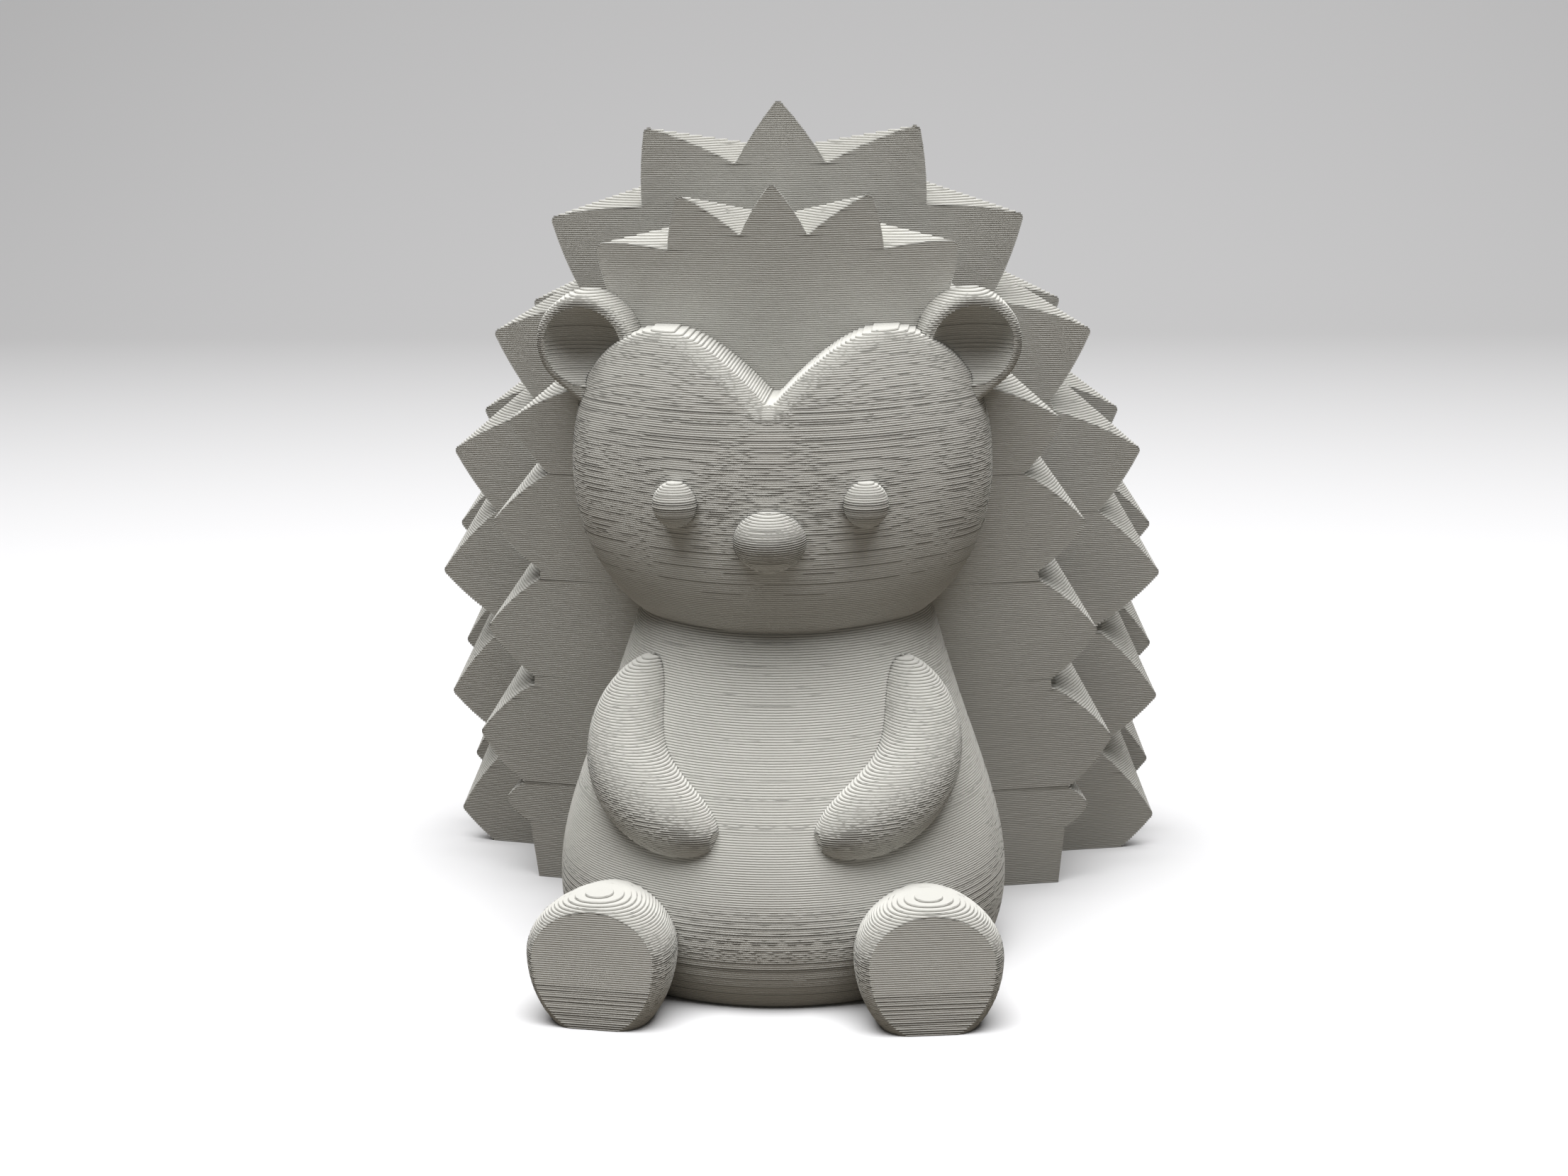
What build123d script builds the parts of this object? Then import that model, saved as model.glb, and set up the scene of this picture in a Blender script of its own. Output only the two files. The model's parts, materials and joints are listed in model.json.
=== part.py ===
from build123d import *
from math import cos, radians, sin, tan
import os

# Seated hedgehog figurine. Millimetres, +Z up, the face looks along -Y.

# Quill coat: every row is an arch plate that leans forward and sweeps back from a centre keel.
ROW_LEAN = 10.0
ROW_SWEEP = 13.0
ROW_START_Y = 5.0
ROW_PITCHES = [10.0, 7.5, 6.0, 5.0, 4.5]
ROW_HEIGHTS = [71.3, 78.3, 74.0, 63.0, 48.0]
ROW_HALF_WIDTHS = [31.5, 36.5, 36.2, 30.0, 21.0]
ROW_SPIKES = [8, 8, 7, 6, 4]
ROW_STAGGER = [0.0, 0.0, 0.5, 0.0, 0.5]
ROW_GROWTH = [0.024, 0.0, 0.0, 0.0, 0.0]
ROW_LOWEST_Z = [15.8, 3.6, 7.7, 9.0, 10.0]
SPIKE_TOP_DEPTH = [6.8, 9.0, 8.0, 7.0, 6.0]
SPIKE_SIDE_DEPTH = [4.8, 5.6, 5.6, 5.4, 5.0]
SPIKE_BULGE = 0.35
SPIKE_TIP_RADIUS = 0.6
SPIKE_ROOT = 2.5
# Shares of half a spike's base: how wide it is made, how far its tip droops, how far its ridge rises.
SPIKE_FILL = 0.92
SPIKE_DROOP = 0.2
SPIKE_RISE = 1.4
# Share of a spike's depth at which its ridge ends, at the crown and at the foot of a row.
SPIKE_CROWN_RIDGE = 1.15
SPIKE_FOOT_RIDGE = 0.55
PLATE_INSET = 0.3
SMALL_TIP_X = 29.3
SMALL_TIP_Z = 8.6
SMALL_TIP_DEPTH = 3.0
SMALL_TIP_HALF = 2.6
# Points on each arch as shares of its half width and height, and how it ends: outward run per drop.
ARCH_SHOULDERS = [(0.51, 0.926), (0.60, 0.868), (0.58, 0.88), (0.58, 0.90), (0.58, 0.90)]
ARCH_SIDES = [(0.857, 0.645), (0.91, 0.59), (0.90, 0.62), (0.87, 0.66), (0.87, 0.66)]
ARCH_SPLAY = [0.155, 0.0, 0.0, 0.0, 0.0]
ARCH_TUCK = 0.1
ARCH_FOOT = 0.97
REAR_APEX_Z = 22.0
REAR_APEX_LENGTH = 4.5
ROW_OVERRUN = 8.0
ROW_SHRINK = [0.0, 0.0, 0.5, 0.5, 0.0]

# Torso, a pear of round sections that leans back: height, radius, front.
TORSO_SECTIONS = [
    (0.0, 19.0, -24.0),
    (3.0, 20.4, -25.7),
    (8.0, 20.9, -26.2),
    (14.0, 19.8, -24.4),
    (20.0, 17.7, -20.4),
    (26.0, 15.5, -15.4),
    (31.0, 13.9, -11.2),
    (38.0, 11.0, -6.5),
]
TORSO_EDGE_R = 0.8

# Head, a stack of rounded sections under a heart-shaped brow.
HEAD_HALF_WIDTH = 19.6
HEAD_REACH = 14.0
HEAD_CHIN_Z = 28.0
HEAD_WIDEST_Z = 43.5
HEAD_CROWN_Z = 64.0
HEAD_POINT = 0.10
# Shares of the height below or above the widest level, of the half width and of the reach.
HEAD_LOWER = [(0.0, 0.30, 0.34), (0.11, 0.55, 0.60), (0.41, 0.84, 0.90)]
HEAD_UPPER = [(0.0, 1.0, 1.0), (0.37, 0.96, 0.97), (0.68, 0.84, 0.86), (1.0, 0.68, 0.66)]
HEAD_CHEEK = (0.74, 0.66)
BROW_LOBE_X = 9.6
BROW_LOBE_Z = 58.2
BROW_NOTCH_Z = 51.8
BROW_NOTCH_R = 0.8
BROW_EDGE_R = 1.8
# Brow line: shares from notch to lobe, then shares of the head's half width with drops below the lobe.
BROW_INNER = (0.40, 0.58)
BROW_OUTER = (0.78, 2.0)
BROW_CORNER = (0.97, 7.4)
BROW_END = (1.10, 13.7)

# Eyes and nose.
EYE_X = 8.5
EYE_Z = 43.4
EYE_R = 2.05
EYE_PROUD = 2.6
NOSE_Z = 40.3
NOSE_HALF_WIDTH = 3.3
NOSE_HALF_HEIGHT = 2.8
NOSE_REACH = 4.0
NOSE_SUNK = 0.6

# Ears, leaf-shaped dishes beside the brow, each narrowing down to a root.
EAR_INSET = 2.5
EAR_Z = 56.8
EAR_RADIUS = 4.7
EAR_THICK = 3.4
EAR_RIM = 0.9
EAR_DISH = 2.4
EAR_ROOT_IN = 2.2
EAR_ROOT_DROP = 5.6
EAR_ROOT_R = 1.6
EAR_EDGE_R = 0.7

# Arms, tapered and bent along the belly.
ARM_SHOULDER = (10.3, -6.8, 27.6)
ARM_ELBOW = (12.9, -15.2, 20.0)
ARM_HAND = (4.4, -23.6, 15.2)
ARM_R = 3.9
ARM_STATIONS = 9
ARM_FULLNESS = 2.6

# Feet, egg-shaped domes with a flat sole towards the front. Sections: depth, share of the outline.
FOOT_X = 14.7
FOOT_FRONT_Y = -30.0
FOOT_HALF_WIDTH = 6.5
FOOT_HEIGHT = 11.6
FOOT_LOW_Z = -1.8
FOOT_WIDEST_Z = 6.2
FOOT_SECTIONS = [(0.0, 0.84), (1.2, 0.96), (3.0, 1.0), (6.5, 0.93), (11.0, 0.70)]
FOOT_TURN = 8.0

# Peg and socket glue joints: radius, length beyond the seat, and length rooted in its own piece.
PEG_R = 2.2
PEG_LENGTH = 4.0
PEG_ROOT = 2.0
SMALL_PEG_R = 1.0
SMALL_PEG_LENGTH = 3.0
SMALL_PEG_ROOT = 1.0
CLEARANCE = 0.15
PEG_X = 8.0
ROW_PEG_Z = (18.0, 26.0)
HEAD_PEG_Z = 45.0
TORSO_PEG_Z = 10.0
NECK_PEG_Y = -6.0
FOOT_PEG_Z = 6.0

BIG = 200.0
lean = radians(ROW_LEAN)
sweep = radians(ROW_SWEEP)
ROW_COUNT = len(ROW_HEIGHTS)
row_starts = [ROW_START_Y + sum(ROW_PITCHES[:i]) for i in range(ROW_COUNT)]

pieces = {}


def row_plane(start_y):
    # Front face of a right-hand half row.
    x_axis = (cos(sweep), sin(sweep), 0)
    normal = (sin(sweep) * cos(lean), -cos(sweep) * cos(lean), -sin(lean))
    return Plane(origin=(0, start_y, 0), x_dir=x_axis, z_dir=normal)


def flat(x, z):
    # Front-view position turned into the row plane's own two coordinates.
    v = z / cos(lean)
    return ((x - v * sin(lean) * sin(sweep)) / cos(sweep), v)


def row_y(start_y, x, z):
    # Depth of a row's front face at a front-view position.
    return start_y + abs(x) * tan(sweep) - z * tan(lean) / cos(sweep)


def arch_points(i, half_width, height):
    # A row's arch from its top to its lowest tip.
    return [
        flat(0, height),
        flat(ARCH_SHOULDERS[i][0] * half_width, ARCH_SHOULDERS[i][1] * height),
        flat(ARCH_SIDES[i][0] * half_width, ARCH_SIDES[i][1] * height),
        flat(half_width, ROW_LOWEST_Z[i]),
    ]


def tip_curve(i):
    # Arch through the spike tips.
    points = arch_points(i, ROW_HALF_WIDTHS[i], ROW_HEIGHTS[i])
    return Spline(*points, tangents=[(1, 0), flat(ARCH_SPLAY[i], -1)])


def plate_face(plane, i, half_width, height):
    # Right half of a plate, run past the centre line and the floor so both can be trimmed.
    points = arch_points(i, half_width, height)
    points.append(flat(ARCH_FOOT * half_width, -ROW_OVERRUN))
    with BuildSketch(plane) as face:
        with BuildLine():
            curve = Spline(*points, tangents=[(1, 0), flat(-ARCH_TUCK, -1)])
            Polyline(curve @ 1, (-ROW_OVERRUN, (curve @ 1).Y), (-ROW_OVERRUN, (curve @ 0).Y), curve @ 0)
        make_face()
    return face.sketch


def spike_face(plane, tip, along, depth, half_base, droop, rise, ridge):
    # Pointed arch with its base sunk in the plate, and the place of the rear end of its ridge.
    out = Vector(-along.Y, along.X)
    middle = tip - out * depth - along * (droop * half_base)
    left = middle - along * half_base
    right = middle + along * half_base
    with BuildSketch(plane) as face:
        with BuildLine():
            SagittaArc(left, tip, SPIKE_BULGE)
            SagittaArc(tip, right, SPIKE_BULGE)
            Polyline(right, right - out * SPIKE_ROOT, left - out * SPIKE_ROOT, left)
        make_face()
        fillet(face.vertices().sort_by_distance(tip)[0], SPIKE_TIP_RADIUS)
    return face.sketch, tip - out * (ridge * depth) - along * ((droop + rise) * half_base)


def half_row(i):
    # Right half of a row: the plate, its spikes, and the trim at the centre line and the floor.
    plane = row_plane(row_starts[i])
    thick = ROW_PITCHES[i] * cos(sweep) * cos(lean)
    top_depth = SPIKE_TOP_DEPTH[i]
    side_depth = SPIKE_SIDE_DEPTH[i]
    tips = tip_curve(i)
    steps = [(k + ROW_STAGGER[i]) * (1 + ROW_GROWTH[i] * (k + ROW_STAGGER[i])) for k in range(ROW_SPIKES[i])]
    places = [step / steps[-1] for step in steps]
    gaps = [(b - a) * tips.length for a, b in zip(places, places[1:])]
    halves = [SPIKE_FILL * (a + b) / 4 for a, b in zip([gaps[0]] + gaps, gaps + [gaps[-1]])]
    spikes = []
    for place, half_base in zip(places, halves):
        depth = top_depth + (side_depth - top_depth) * place
        ridge = SPIKE_CROWN_RIDGE + (SPIKE_FOOT_RIDGE - SPIKE_CROWN_RIDGE) * place
        shape = (0, 0, 1) if place == 0 else (SPIKE_DROOP, SPIKE_RISE, ridge)
        spikes.append((tips.position_at(place), tips.tangent_at(place), depth, half_base, *shape))
    if i == 0:
        small = Vector(*flat(SMALL_TIP_X, SMALL_TIP_Z))
        spikes.append((small, tips.tangent_at(1), SMALL_TIP_DEPTH, SMALL_TIP_HALF, *shape))
    wide = ROW_HALF_WIDTHS[i] - side_depth - PLATE_INSET
    high = ROW_HEIGHTS[i] - top_depth - PLATE_INSET
    after = min(i + 1, ROW_COUNT - 1)
    back_wide = wide - ROW_SHRINK[i] * (ROW_HALF_WIDTHS[i] - ROW_HALF_WIDTHS[after])
    back_high = high - ROW_SHRINK[i] * (ROW_HEIGHTS[i] - ROW_HEIGHTS[after])
    front = plate_face(plane, i, wide, high)
    back = plate_face(plane.offset(-thick), i, back_wide, back_high)
    with BuildPart() as half:
        loft(sections=[front, back])
        if i == ROW_COUNT - 1:
            apex_y = row_y(row_starts[i], 0, REAR_APEX_Z) + ROW_PITCHES[i] + REAR_APEX_LENGTH
            loft(sections=[back, Vertex(0, apex_y, REAR_APEX_Z)])
        for spike in spikes:
            face, rear = spike_face(plane, *spike)
            point = plane.from_local_coords(Vector(rear.X, rear.Y, -thick))
            loft(sections=[face, Vertex(point.X, point.Y, point.Z)])
        with Locations((BIG / 2, 0, BIG / 2)):
            Box(BIG, BIG, BIG, mode=Mode.INTERSECT)
    return half.part


def rod(start, direction, radius, length):
    with BuildPart() as made:
        with BuildSketch(Plane(origin=start, z_dir=direction)):
            Circle(radius)
        extrude(amount=length)
    return made.part


def joint(seat, direction, radius, length, root):
    # A peg rooted in its own piece, and the looser socket that takes it beyond the seat.
    start = Vector(*seat) - Vector(*direction).normalized() * root
    peg = rod(start, direction, radius, root + length)
    socket = rod(start, direction, radius + CLEARANCE, root + length + CLEARANCE)
    return peg, socket


def large_joint(seat, direction):
    return joint(seat, direction, PEG_R, PEG_LENGTH, PEG_ROOT)


def small_joint(seat, direction):
    return joint(seat, direction, SMALL_PEG_R, SMALL_PEG_LENGTH, SMALL_PEG_ROOT)


def first_hit(part, start, direction):
    # Where a line first meets a piece.
    hits = part.find_intersection_points(Axis(start, direction))
    unit = Vector(*direction).normalized()
    return min((point for point, normal in hits), key=lambda p: (p - Vector(*start)).dot(unit))


# Everything behind the first row's front face, used to trim the head and the torso.
with BuildPart() as behind:
    with BuildSketch(row_plane(row_starts[0])):
        Rectangle(BIG, BIG)
    extrude(amount=-BIG / 2)
    with Locations((BIG / 2, 0, 0)):
        Box(BIG, BIG, BIG, mode=Mode.INTERSECT)
    mirror(about=Plane.YZ)

# Head body, a smooth stack of sections.
levels = [(HEAD_CHIN_Z + s * (HEAD_WIDEST_Z - HEAD_CHIN_Z), w, d) for s, w, d in HEAD_LOWER]
levels += [(HEAD_WIDEST_Z + s * (HEAD_CROWN_Z - HEAD_WIDEST_Z), w, d) for s, w, d in HEAD_UPPER]
with BuildPart() as head_body:
    for z, wide, deep in levels:
        w = HEAD_HALF_WIDTH * wide
        d = HEAD_REACH * deep
        tip = -(1 + HEAD_POINT) * d
        cheek_x = HEAD_CHEEK[0] * w
        cheek_y = -HEAD_CHEEK[1] * d
        with BuildSketch(Plane.XY.offset(z)):
            with BuildLine():
                Spline((w, 0), (cheek_x, cheek_y), (0, tip), tangents=[(0, -1), (-1, 0)])
                Spline((0, tip), (-cheek_x, cheek_y), (-w, 0), tangents=[(-1, 0), (0, 1)])
                Spline((-w, 0), (0, d), (w, 0), tangents=[(0, 1), (0, -1)])
            make_face()
    loft()

# Everything above the heart-shaped brow.
brow_rise = BROW_LOBE_Z - BROW_NOTCH_Z
with BuildPart() as above_brow:
    with BuildSketch(Plane.XZ.offset(-BIG / 4)) as brow_sketch:
        with BuildLine():
            brow = Spline(
                (0, BROW_NOTCH_Z),
                (BROW_LOBE_X * BROW_INNER[0], BROW_NOTCH_Z + brow_rise * BROW_INNER[1]),
                (BROW_LOBE_X, BROW_LOBE_Z),
                (HEAD_HALF_WIDTH * BROW_OUTER[0], BROW_LOBE_Z - BROW_OUTER[1]),
                (HEAD_HALF_WIDTH * BROW_CORNER[0], BROW_LOBE_Z - BROW_CORNER[1]),
                (HEAD_HALF_WIDTH * BROW_END[0], BROW_LOBE_Z - BROW_END[1]),
            )
            outer = (BIG / 4, (brow @ 1).Y)
            Polyline(brow @ 1, outer, (BIG / 4, BIG / 2), (0, BIG / 2), (0, BROW_NOTCH_Z))
        make_face()
        mirror(about=Plane.YZ)
        fillet(brow_sketch.vertices().sort_by_distance((0, BROW_NOTCH_Z))[0], BROW_NOTCH_R)
    extrude(amount=BIG / 2)

with BuildPart() as face_body:
    add(head_body.part)
    add(above_brow.part, mode=Mode.SUBTRACT)
    rim = face_body.edges().filter_by(lambda e: e.center().Z > BROW_NOTCH_Z and e.geom_type != GeomType.LINE)
    fillet(rim, BROW_EDGE_R)
    add(behind.part, mode=Mode.SUBTRACT)

# Torso body.
with BuildPart() as torso_body:
    for z, radius, front in TORSO_SECTIONS:
        with BuildSketch(Plane((0, front + radius, z))):
            Circle(radius)
    loft()
    fillet(torso_body.edges().sort_by(Axis.Z)[0], TORSO_EDGE_R)

# Right arm, a run of round sections along a bent line.
arm_line = Spline(ARM_SHOULDER, ARM_ELBOW, ARM_HAND)
with BuildPart() as arm_body:
    for k in range(ARM_STATIONS):
        place = (1 - cos(radians(180 * (k + 0.5) / ARM_STATIONS))) / 2
        radius = ARM_R * (1 - abs(2 * place - 1) ** ARM_FULLNESS) ** 0.5
        along = arm_line.tangent_at(place)
        with BuildSketch(Plane(arm_line.position_at(place), x_dir=along.cross(Vector(0, 0, 1)), z_dir=along)):
            Circle(radius)
    loft()

# Right foot, egg outlines one behind the other, cut flat at the floor.
foot_x_axis = (cos(radians(FOOT_TURN)), sin(radians(FOOT_TURN)), 0)
foot_normal = (sin(radians(FOOT_TURN)), -cos(radians(FOOT_TURN)), 0)
sole_plane = Plane((FOOT_X, FOOT_FRONT_Y, 0), x_dir=foot_x_axis, z_dir=foot_normal)
with BuildPart() as foot_body:
    for back, share in FOOT_SECTIONS:
        half = share * FOOT_HALF_WIDTH
        above = share * (FOOT_HEIGHT - FOOT_WIDEST_Z)
        below = share * (FOOT_WIDEST_Z - FOOT_LOW_Z)
        with BuildSketch(sole_plane.offset(-back)):
            with BuildLine():
                EllipticalCenterArc((0, FOOT_WIDEST_Z), half, above, start_angle=0, arc_size=180)
                EllipticalCenterArc((0, FOOT_WIDEST_Z), half, below, start_angle=180, arc_size=180)
            make_face()
    loft()
    with Locations((0, 0, BIG / 2)):
        Box(BIG, BIG, BIG, mode=Mode.INTERSECT)

# Right ear, a leaf standing on the first row's front face, hollowed by a ball.
ear_x = HEAD_HALF_WIDTH - EAR_INSET
ear_centre = Vector(*flat(ear_x, EAR_Z))
ear_root = Vector(*flat(ear_x - EAR_ROOT_IN, EAR_Z - EAR_ROOT_DROP))
dish_half = EAR_RADIUS - EAR_RIM
dish_r = (dish_half ** 2 + EAR_DISH ** 2) / (2 * EAR_DISH)
front_plane = row_plane(row_starts[0])
with BuildPart() as ear_body:
    with BuildSketch(front_plane):
        with Locations(ear_centre):
            Circle(EAR_RADIUS)
        with Locations(ear_root):
            Circle(EAR_ROOT_R)
        make_hull()
    extrude(amount=EAR_THICK)
    fillet(ear_body.faces().sort_by(Axis.Y)[0].edges(), EAR_EDGE_R)
    dish_centre = front_plane.from_local_coords(Vector(ear_centre.X, ear_centre.Y, EAR_THICK - EAR_DISH + dish_r))
    with Locations(dish_centre):
        Sphere(dish_r, mode=Mode.SUBTRACT)

# Right eye, a ball sunk in the face.
eye_seat = first_hit(face_body.part, (EYE_X, -BIG / 2, EYE_Z), (0, 1, 0))
with BuildPart() as eye_body:
    with Locations((EYE_X, eye_seat.Y - EYE_PROUD + EYE_R, EYE_Z)):
        Sphere(EYE_R)

# Nose, a squashed ball.
nose_seat = first_hit(face_body.part, (0, -BIG / 2, NOSE_Z), (0, 1, 0))
with BuildPart() as nose_ball:
    Sphere(1)
    scale(by=(NOSE_HALF_WIDTH, NOSE_REACH, NOSE_HALF_HEIGHT))
nose_place = Location((0, nose_seat.Y + NOSE_SUNK, NOSE_Z))

# Joints on the right-hand side, each a peg and its socket. The left side is a mirror image.
forward = (0, -1, 0)
backward = (0, 1, 0)
eye_peg, eye_socket = small_joint(eye_seat, backward)
nose_peg, nose_socket = small_joint(nose_seat, backward)
ear_seat = front_plane.from_local_coords(ear_centre)
ear_peg, ear_socket = small_joint(ear_seat, -front_plane.z_dir)
arm_inward = (-ARM_ELBOW[0], -ARM_ELBOW[1], 0)
arm_outside = Vector(*ARM_ELBOW) - Vector(*arm_inward)
arm_peg, arm_socket = small_joint(first_hit(torso_body.part, arm_outside, arm_inward), arm_inward)
foot_inward = (-foot_normal[0], -foot_normal[1], 0)
foot_seat = first_hit(torso_body.part, (FOOT_X, FOOT_FRONT_Y, FOOT_PEG_Z), foot_inward)
foot_peg, foot_socket = large_joint(foot_seat, foot_inward)
neck_peg, neck_socket = large_joint((0, NECK_PEG_Y, HEAD_CHIN_Z), (0, 0, 1))
head_seat = (PEG_X, row_y(row_starts[0], PEG_X, HEAD_PEG_Z), HEAD_PEG_Z)
head_peg, head_socket = large_joint(head_seat, backward)
torso_seat = (PEG_X, row_y(row_starts[0], PEG_X, TORSO_PEG_Z), TORSO_PEG_Z)
torso_peg, torso_socket = large_joint(torso_seat, backward)
row_joints = []
for i, y in enumerate(row_starts):
    z = ROW_PEG_Z[i % 2]
    row_joints.append(large_joint((PEG_X, row_y(y, PEG_X, z), z), forward))


def both(part):
    return [part, part.mirror(Plane.YZ)]


with BuildPart() as head:
    add(face_body.part)
    add(both(head_peg))
    add(both(eye_socket), mode=Mode.SUBTRACT)
    add(nose_socket, mode=Mode.SUBTRACT)
    add(neck_socket, mode=Mode.SUBTRACT)
pieces["head"] = head.part

with BuildPart() as torso:
    add(torso_body.part)
    add(face_body.part, mode=Mode.SUBTRACT)
    add(behind.part, mode=Mode.SUBTRACT)
    add(neck_peg)
    add(both(torso_peg))
    add(both(arm_socket), mode=Mode.SUBTRACT)
    add(both(foot_socket), mode=Mode.SUBTRACT)
pieces["torso"] = torso.part

with BuildPart() as nose:
    add(nose_ball.part.moved(nose_place))
    add(face_body.part, mode=Mode.SUBTRACT)
    add(nose_peg)
pieces["nose"] = nose.part

pairs = [
    ("eye", eye_body, face_body, eye_peg),
    ("ear", ear_body, face_body, ear_peg),
    ("arm", arm_body, torso_body, arm_peg),
    ("foot", foot_body, torso_body, foot_peg),
]
for name, body, seat_body, plug in pairs:
    for side, shape, pin in zip(("right", "left"), both(body.part), both(plug)):
        with BuildPart() as piece:
            add(shape)
            add(seat_body.part, mode=Mode.SUBTRACT)
            add(pin)
        pieces[f"{name}_{side}"] = piece.part

for i in range(ROW_COUNT):
    half = half_row(i)
    with BuildPart() as row:
        add(half)
        mirror(about=Plane.YZ)
        if i == 0:
            add(both(head_socket), mode=Mode.SUBTRACT)
            add(both(torso_socket), mode=Mode.SUBTRACT)
            add(both(ear_socket), mode=Mode.SUBTRACT)
        else:
            add(both(row_joints[i][0]))
        if i + 1 < ROW_COUNT:
            add(both(row_joints[i + 1][1]), mode=Mode.SUBTRACT)
    pieces[f"quill_row_{i + 1}"] = row.part

# The whole figure is moved so that the middle of its depth stands over the origin.
boxes = [part.bounding_box() for part in pieces.values()]
middle_y = (min(box.min.Y for box in boxes) + max(box.max.Y for box in boxes)) / 2
os.makedirs("parts", exist_ok=True)
for name, part in pieces.items():
    placed = part.moved(Location((0, -middle_y, 0)))
    placed.label = name
    export_step(placed, f"parts/{name}.step")
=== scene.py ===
import json
import math

import bpy
import numpy as np
from mathutils import Matrix, Vector


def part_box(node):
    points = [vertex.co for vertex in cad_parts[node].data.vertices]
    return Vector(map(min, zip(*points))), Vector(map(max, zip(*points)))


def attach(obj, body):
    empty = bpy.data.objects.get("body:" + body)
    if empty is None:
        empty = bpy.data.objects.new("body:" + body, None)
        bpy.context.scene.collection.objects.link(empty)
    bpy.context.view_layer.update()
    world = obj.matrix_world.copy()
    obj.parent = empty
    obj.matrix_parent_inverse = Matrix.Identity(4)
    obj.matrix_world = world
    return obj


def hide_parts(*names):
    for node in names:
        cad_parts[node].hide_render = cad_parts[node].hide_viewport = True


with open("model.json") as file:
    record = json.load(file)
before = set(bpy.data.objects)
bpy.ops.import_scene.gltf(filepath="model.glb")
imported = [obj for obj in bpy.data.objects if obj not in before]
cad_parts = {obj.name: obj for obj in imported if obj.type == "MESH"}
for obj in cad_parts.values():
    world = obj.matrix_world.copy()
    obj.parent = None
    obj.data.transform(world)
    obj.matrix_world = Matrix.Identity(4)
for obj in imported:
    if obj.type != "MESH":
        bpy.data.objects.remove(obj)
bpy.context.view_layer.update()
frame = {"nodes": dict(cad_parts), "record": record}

# Scene lengths are in metres, and these are in millimetres.
MM = 1000.0

# One printed layer, how far its edges sit back from its middle, and how near points are welded.
LAYER = 0.2
BEAD = 0.045
WELD = 2e-4
# CAD points closer than this are one point.
SAME = 1e-4
# Points this near a cut, in layers, are lifted off it.
NEAR_CUT = 1e-3
LIFT = 2e-3
# Room for layer numbers in the key of a cut, and the first number that fits.
LAYER_ROOM = 4096
LAYER_START = 8
SHARP_ANGLE = 32.0

# Warm grey plastic: base colour, spread of its blotches, noise sizes, roughness and grain.
GREY = (0.50, 0.495, 0.465)
BLOTCH_DARK = 0.965
BLOTCH_LIGHT = 1.03
BLOTCH_RANGE = (0.32, 0.72)
BLOTCH_SCALE = 90.0
BLOTCH_DETAIL = 4.0
GRAIN_SCALE = 2600.0
GRAIN_DETAIL = 3.0
GRAIN_STRENGTH = 0.12
GRAIN_HEIGHT = 0.00004
ROUGHNESS = (0.52, 0.70)
SHEEN = 0.32

# Backdrop in metres: front and back of the floor, radius of the bend, top, and half width.
FLOOR_FRONT = -0.9
FLOOR_BACK = 0.45
BEND_RADIUS = 0.35
BEND_START = 0.05
BEND_STEPS = 24
BACKDROP_TOP = 1.4
BACKDROP_HALF = 1.8
BACKDROP_SEEN = (0.70, 0.70, 0.71, 1)
BACKDROP_BOUNCE = (0.16, 0.14, 0.115, 1)
BACKDROP_ROUGHNESS = 0.75
BACKDROP_SHEEN = 0.2

# Lights in metres and watts: place, aim, size and power.
TOP_LIGHT = ((0.0, -0.12, 0.62), (0, 0, 0), (0.7, 0.5), 9.4)
FRONT_FILL = ((0.1, -0.75, 0.42), (0, 0, 0.03), (0.6, 0.4), 0.15)
SKY_COLOUR = (1, 0.96, 0.90, 1)
SKY_STRENGTH = 0.07

# Camera, in millimetres and degrees, fitted to the photo's landmarks.
CAM_AZIMUTH = 4.6
CAM_PITCH = 12.5
CAM_ROLL = 0.8
CAM_DISTANCE = 245.0
CAM_HEIGHT = 87.0
CAM_FOV = 32.94
CAM_CLIP = 0.01
# Front of the feet in the frame that the camera was fitted in.
FITTED_FOOT_FRONT = -30.76


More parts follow.
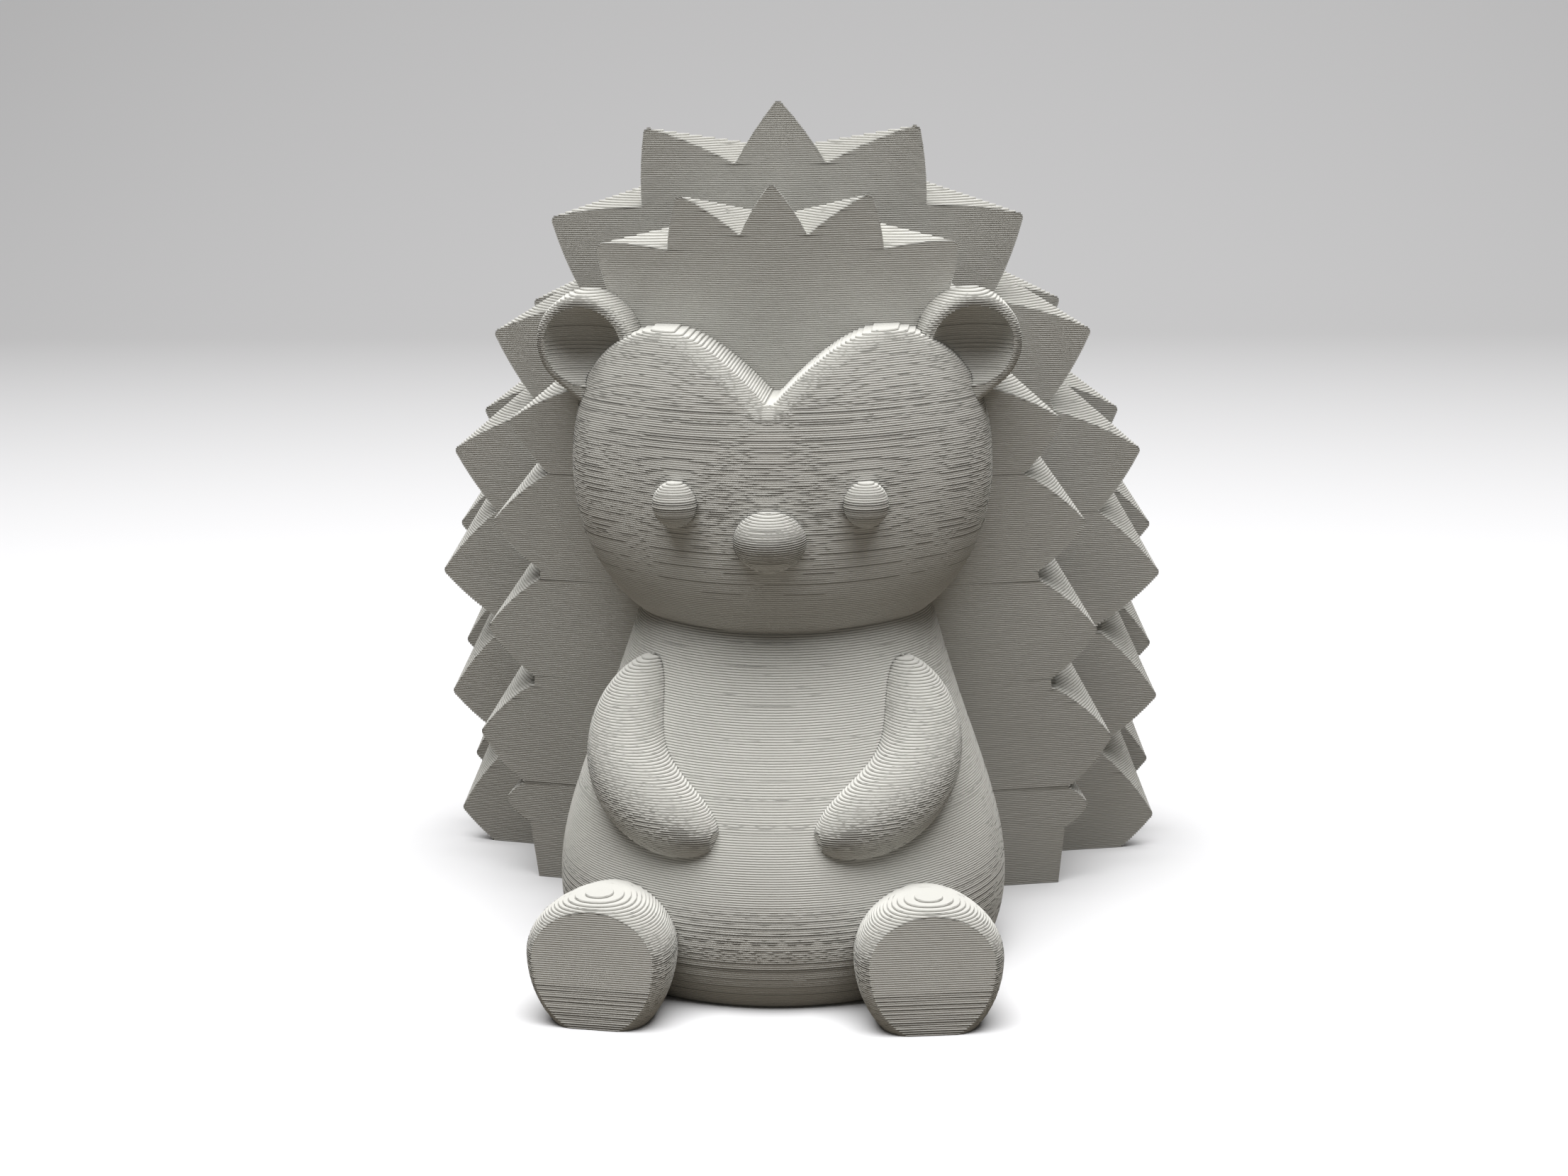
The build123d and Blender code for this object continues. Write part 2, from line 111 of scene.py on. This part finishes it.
def cut_at_layers(verts, tris):
    """Points and triangles of a mesh as a layered print: flat treads, and rounded walls a layer high."""
    z = verts[:, 2] / LAYER
    near = np.abs(z - np.floor(z) - 0.5) < NEAR_CUT
    z = np.where(near, z + LIFT, z)
    # Corners of each triangle from low to high, and whether that order keeps its turning sense.
    corner_z = z[tris]
    order = np.argsort(corner_z, axis=1, kind="stable")
    rows = np.arange(len(tris))[:, None]
    sorted_tris = tris[rows, order]
    sorted_z = corner_z[rows, order]
    even = (order[:, 1] - order[:, 0]) % 3 == 1
    # Band j holds heights from j - 0.5 to j + 0.5 layers, and is pressed flat at j.
    first = np.floor(sorted_z[:, 0] + 0.5).astype(int)
    last = np.floor(sorted_z[:, 2] + 0.5).astype(int)
    count = last - first + 1
    owner = np.repeat(np.arange(len(tris)), count)
    band = np.arange(count.sum()) - np.repeat(np.cumsum(count) - count, count) + first[owner]
    a, b, c = sorted_tris[owner].T
    zb = sorted_z[owner, 1]
    base = len(verts)

    def key(p, q, plane):
        edge = np.minimum(p, q).astype(np.int64) * base + np.maximum(p, q)
        return edge * LAYER_ROOM + plane + LAYER_START

    # Each band is cut below and above, on the triangle's long side and on one of its short sides.
    lower = band - 1
    upper = band
    has_low = band > first[owner]
    has_up = band < last[owner]
    low_long = key(a, c, lower)
    low_short = np.where(lower + 0.5 < zb, key(a, b, lower), key(b, c, lower))
    up_long = key(a, c, upper)
    up_short = np.where(upper + 0.5 < zb, key(a, b, upper), key(b, c, upper))
    cut_keys = np.unique(np.concatenate([up_long[has_up], up_short[has_up]]))
    id_low_long = np.searchsorted(cut_keys, low_long)
    id_low_short = np.searchsorted(cut_keys, low_short)
    id_up_long = np.searchsorted(cut_keys, up_long)
    id_up_short = np.searchsorted(cut_keys, up_short)
    plane = cut_keys % LAYER_ROOM - LAYER_START
    edge = cut_keys // LAYER_ROOM
    p, q = edge // base, edge % base
    t = (plane + 0.5 - z[p]) / (z[q] - z[p])
    where = verts[p] + (verts[q] - verts[p]) * t[:, None]

    # Level outward direction at each cut, from the triangles that meet there.
    normal = np.cross(verts[tris[:, 1]] - verts[tris[:, 0]], verts[tris[:, 2]] - verts[tris[:, 0]])
    normal /= np.maximum(np.linalg.norm(normal, axis=1), 1e-12)[:, None]
    level = normal[owner[has_up], :2]
    level = level / np.maximum(np.linalg.norm(level, axis=1), 1e-9)[:, None]
    out = np.zeros((len(cut_keys), 2))
    for ids in (id_up_long, id_up_short):
        np.add.at(out, ids[has_up], level)
    out /= np.maximum(np.linalg.norm(out, axis=1), 1e-9)[:, None]

    # The old points, then three rings for every cut: low edge, middle and high edge of a wall.
    n = len(cut_keys)
    points = np.zeros((base + 3 * n, 3))
    points[:base] = verts
    points[:base, 2] = np.floor(z + 0.5) * LAYER
    for i, (step, inset) in enumerate(((0.0, BEAD), (0.5, 0.0), (1.0, BEAD))):
        ring = slice(base + i * n, base + (i + 1) * n)
        points[ring, :2] = where[:, :2] - out * inset
        points[ring, 2] = (plane + step) * LAYER

    def wind(corners, keep):
        corners = np.stack(corners, 1)
        return np.where(keep[:, None], corners, corners[:, ::-1])

    # Treads: the part of each triangle inside a band.
    turn = even[owner]
    tread_low_long = np.where(has_low, base + 2 * n + id_low_long, a)
    tread_low_short = np.where(has_low, base + 2 * n + id_low_short, a)
    tread_up_long = np.where(has_up, base + id_up_long, c)
    tread_up_short = np.where(has_up, base + id_up_short, c)
    b_inside = np.floor(zb + 0.5).astype(int) == band
    middle = np.where(b_inside, b, tread_low_short)
    faces = [
        wind((tread_low_long, tread_low_short, middle), turn),
        wind((tread_low_long, middle, tread_up_short), turn),
        wind((tread_low_long, tread_up_short, tread_up_long), turn),
    ]
    # Walls: two strips along every cut.
    wall_turn = turn[has_up]
    for i in range(2):
        low_a = base + id_up_long[has_up] + i * n
        low_b = base + id_up_short[has_up] + i * n
        high_a = low_a + n
        high_b = low_b + n
        faces.append(wind((low_a, low_b, high_b), wall_turn))
        faces.append(wind((low_a, high_b, high_a), wall_turn))
    return points, np.concatenate(faces)


def without_flat_faces(faces):
    a, b, c = faces.T
    return faces[(a != b) & (b != c) & (a != c)]


def welded(points, faces):
    """Equal points joined, faces without area dropped, and unused points left out."""
    cell = np.round(points / WELD).astype(np.int64)
    cell -= cell.min(0)
    span = cell.max(0) + 1
    code = (cell[:, 0] * span[1] + cell[:, 1]) * span[2] + cell[:, 2]
    _, first_at, back = np.unique(code, return_index=True, return_inverse=True)
    faces = without_flat_faces(back[faces])
    used, faces = np.unique(faces, return_inverse=True)
    return points[first_at][used], faces.reshape(-1, 3)


def printed_mesh(name, verts, tris):
    points, faces = welded(*cut_at_layers(verts, tris))
    mesh = bpy.data.meshes.new(name)
    mesh.vertices.add(len(points))
    mesh.vertices.foreach_set("co", (points / MM).astype(np.float32).ravel())
    mesh.loops.add(faces.size)
    mesh.loops.foreach_set("vertex_index", faces.astype(np.int32).ravel())
    mesh.polygons.add(len(faces))
    mesh.polygons.foreach_set("loop_start", np.arange(0, faces.size, 3, dtype=np.int32))
    mesh.polygons.foreach_set("loop_total", np.full(len(faces), 3, np.int32))
    mesh.polygons.foreach_set("use_smooth", np.ones(len(faces), bool))
    mesh.update(calc_edges=True)
    mesh.validate()
    mesh.set_sharp_from_angle(angle=math.radians(SHARP_ANGLE))
    return mesh


def node_arrays(obj):
    """Points in millimetres and triangles of a CAD node, with the points at its hard edges joined."""
    data = obj.data
    data.calc_loop_triangles()
    verts = np.zeros(len(data.vertices) * 3, np.float64)
    data.vertices.foreach_get("co", verts)
    tris = np.zeros(len(data.loop_triangles) * 3, np.int32)
    data.loop_triangles.foreach_get("vertices", tris)
    verts = verts.reshape(-1, 3) * MM
    tris = tris.reshape(-1, 3).astype(np.int64)
    cell = np.round(verts / SAME).astype(np.int64)
    _, first_at, back = np.unique(cell, axis=0, return_index=True, return_inverse=True)
    return verts[first_at], without_flat_faces(back.reshape(-1)[tris])


def noise(tree, coord, scale, detail):
    texture = tree.nodes.new("ShaderNodeTexNoise")
    texture.inputs["Scale"].default_value = scale
    texture.inputs["Detail"].default_value = detail
    tree.links.new(coord.outputs["Object"], texture.inputs["Vector"])
    return texture


def plastic(name):
    """Matte printed plastic: slight blotches of tone, fine grain and a dull sheen."""
    mat = bpy.data.materials.new(name)
    mat.use_nodes = True
    tree = mat.node_tree
    shader = tree.nodes["Principled BSDF"]
    shader.inputs["Specular IOR Level"].default_value = SHEEN
    coord = tree.nodes.new("ShaderNodeTexCoord")
    blotch = noise(tree, coord, BLOTCH_SCALE, BLOTCH_DETAIL)
    grain = noise(tree, coord, GRAIN_SCALE, GRAIN_DETAIL)

    ramp = tree.nodes.new("ShaderNodeValToRGB")
    stops = ramp.color_ramp.elements
    for stop, position, tone in zip(stops, BLOTCH_RANGE, (BLOTCH_DARK, BLOTCH_LIGHT)):
        stop.position = position
        stop.color = (*[v * tone for v in GREY], 1)
    tree.links.new(blotch.outputs["Fac"], ramp.inputs["Fac"])
    tree.links.new(ramp.outputs["Color"], shader.inputs["Base Color"])

    rough = tree.nodes.new("ShaderNodeMapRange")
    rough.inputs["To Min"].default_value, rough.inputs["To Max"].default_value = ROUGHNESS
    tree.links.new(grain.outputs["Fac"], rough.inputs["Value"])
    tree.links.new(rough.outputs["Result"], shader.inputs["Roughness"])

    bump = tree.nodes.new("ShaderNodeBump")
    bump.inputs["Strength"].default_value = GRAIN_STRENGTH
    bump.inputs["Distance"].default_value = GRAIN_HEIGHT
    tree.links.new(grain.outputs["Fac"], bump.inputs["Height"])
    tree.links.new(bump.outputs["Normal"], shader.inputs["Normal"])
    return mat


def backdrop_material():
    """White to the camera, darker in what it throws back, so that undersides and overhangs stay dim."""
    mat = bpy.data.materials.new("backdrop_white")
    mat.use_nodes = True
    tree = mat.node_tree
    shader = tree.nodes["Principled BSDF"]
    shader.inputs["Roughness"].default_value = BACKDROP_ROUGHNESS
    shader.inputs["Specular IOR Level"].default_value = BACKDROP_SHEEN
    path = tree.nodes.new("ShaderNodeLightPath")
    mix = tree.nodes.new("ShaderNodeMix")
    mix.data_type = "RGBA"
    mix.inputs["A"].default_value = BACKDROP_BOUNCE
    mix.inputs["B"].default_value = BACKDROP_SEEN
    tree.links.new(path.outputs["Is Camera Ray"], mix.inputs["Factor"])
    tree.links.new(mix.outputs["Result"], shader.inputs["Base Color"])
    return mat


def backdrop():
    """Floor that curves up into a wall."""
    profile = [(FLOOR_FRONT, 0.0), (FLOOR_BACK, 0.0)]
    for t in np.linspace(BEND_START, math.pi / 2, BEND_STEPS):
        profile.append((FLOOR_BACK + BEND_RADIUS * math.sin(t), BEND_RADIUS * (1 - math.cos(t))))
    profile.append((FLOOR_BACK + BEND_RADIUS, BACKDROP_TOP))
    verts = [(x, y, z) for y, z in profile for x in (-BACKDROP_HALF, BACKDROP_HALF)]
    faces = [(2 * i, 2 * i + 1, 2 * i + 3, 2 * i + 2) for i in range(len(profile) - 1)]
    mesh = bpy.data.meshes.new("backdrop")
    mesh.from_pydata(verts, [], faces)
    mesh.polygons.foreach_set("use_smooth", [True] * len(faces))
    mesh.materials.append(backdrop_material())
    obj = bpy.data.objects.new("backdrop", mesh)
    bpy.context.scene.collection.objects.link(obj)


def area_light(name, place, aim, size, power):
    data = bpy.data.lights.new(name, "AREA")
    data.shape = "RECTANGLE"
    data.size, data.size_y = size
    data.energy = power
    obj = bpy.data.objects.new(name, data)
    obj.location = place
    obj.rotation_euler = (Vector(aim) - Vector(place)).to_track_quat("-Z", "Y").to_euler()
    bpy.context.scene.collection.objects.link(obj)


def sky():
    world = bpy.data.worlds.new("studio")
    world.use_nodes = True
    background = world.node_tree.nodes["Background"]
    background.inputs["Color"].default_value = SKY_COLOUR
    background.inputs["Strength"].default_value = SKY_STRENGTH
    bpy.context.scene.world = world


def photo_camera():
    """Camera at the photo's view. The part stands a little further forward than when it was fitted."""
    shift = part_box("foot_right")[0].y * MM - FITTED_FOOT_FRONT
    azimuth = math.radians(CAM_AZIMUTH)
    pitch = math.radians(CAM_PITCH)
    roll = math.radians(CAM_ROLL)
    level = math.cos(pitch)
    forward = Vector((-math.sin(azimuth) * level, math.cos(azimuth) * level, -math.sin(pitch)))
    right = Vector((math.cos(azimuth), math.sin(azimuth), 0))
    up = right.cross(forward)
    turned_right = right * math.cos(roll) - up * math.sin(roll)
    turned_up = right * math.sin(roll) + up * math.cos(roll)
    x = CAM_DISTANCE * math.sin(azimuth)
    y = -CAM_DISTANCE * math.cos(azimuth) + shift
    place = Vector((x, y, CAM_HEIGHT)) / MM
    camera = bpy.data.objects.new("camera", bpy.data.cameras.new("camera"))
    camera.data.sensor_fit = "HORIZONTAL"
    camera.data.angle = math.radians(CAM_FOV)
    camera.data.clip_start = CAM_CLIP
    rotation = Matrix((turned_right, turned_up, -forward)).transposed().to_4x4()
    camera.matrix_world = Matrix.Translation(place) @ rotation
    bpy.context.scene.collection.objects.link(camera)
    bpy.context.scene.camera = camera


materials = {slot: plastic("printed_" + slot) for slot in ("body", "quills", "limbs", "features")}
slots = {part["node"]: part["material_slot"] for part in frame["record"]["subparts"]}
for node, source in frame["nodes"].items():
    mesh = printed_mesh(node + "_print", *node_arrays(source))
    mesh.materials.append(materials[slots[node]])
    piece = bpy.data.objects.new(node + "_print", mesh)
    bpy.context.scene.collection.objects.link(piece)
    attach(piece, "root")
    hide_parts(node)

backdrop()
area_light("top_light", *TOP_LIGHT)
area_light("front_fill", *FRONT_FILL)
sky()
photo_camera()
bpy.context.scene.view_settings.view_transform = "Standard"
